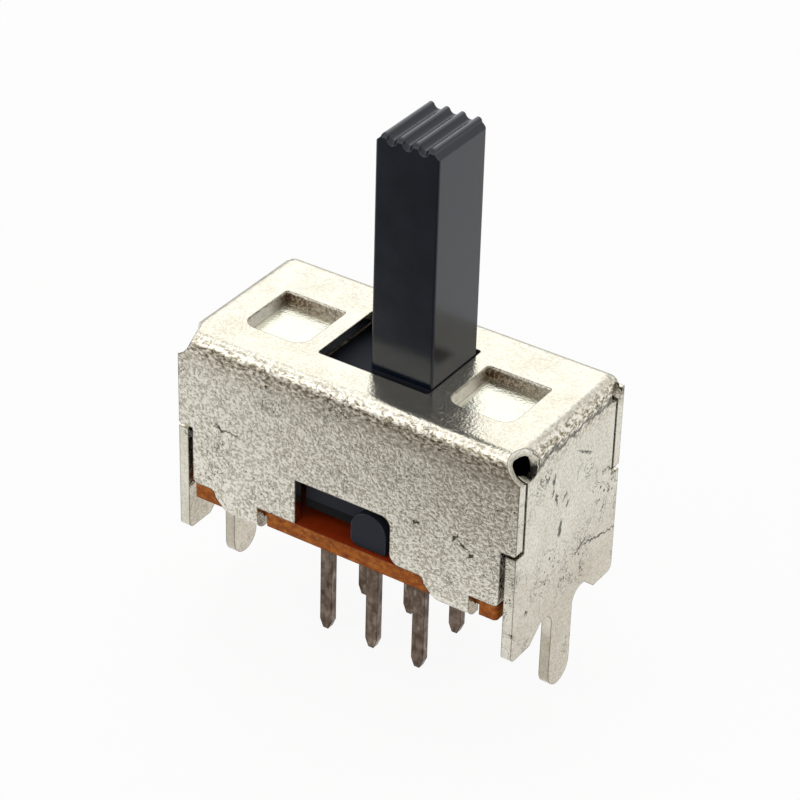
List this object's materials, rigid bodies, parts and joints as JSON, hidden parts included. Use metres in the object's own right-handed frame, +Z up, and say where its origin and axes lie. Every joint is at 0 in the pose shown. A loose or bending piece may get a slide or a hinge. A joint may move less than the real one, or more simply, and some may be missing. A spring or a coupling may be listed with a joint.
{
  "type": "slide switch",
  "caption": "Upright slide switch for a printed board: folded metal frame, tall black handle, insulating base board, straight pins and two fixing legs.",
  "frame": {"origin": "middle of the switch in plan, at the level of the terminals' tips", "axes": "+X along the travel, towards the handle's drawn position; +Y from the front wall to the back wall; +Z up the handle"},
  "size_m": [0.0142, 0.0068, 0.0212],
  "materials": {
    "nickel_plated_steel": "bright, finely mottled plating",
    "phenolic_board": "punched laminate with a rough edge",
    "tinned_brass": "dull tin plating",
    "black_moulding": "gloss",
    "silvered_bronze": "silver plating"
  },
  "bodies": {
    "housing": {"frame": "nickel_plated_steel", "base_board": "phenolic_board", "terminal_a1": "tinned_brass", "terminal_a2": "tinned_brass", "terminal_a3": "tinned_brass", "terminal_b1": "tinned_brass", "terminal_b2": "tinned_brass", "terminal_b3": "tinned_brass"},
    "actuator": {"slider": "black_moulding", "contact_clip_a": "silvered_bronze", "contact_clip_b": "silvered_bronze"}
  },
  "joints": [
    {"name": "slider_travel", "type": "slide", "parent": "housing", "child": "actuator", "axis": [1, 0, 0], "range_m": [-0.002, 0]}
  ]
}
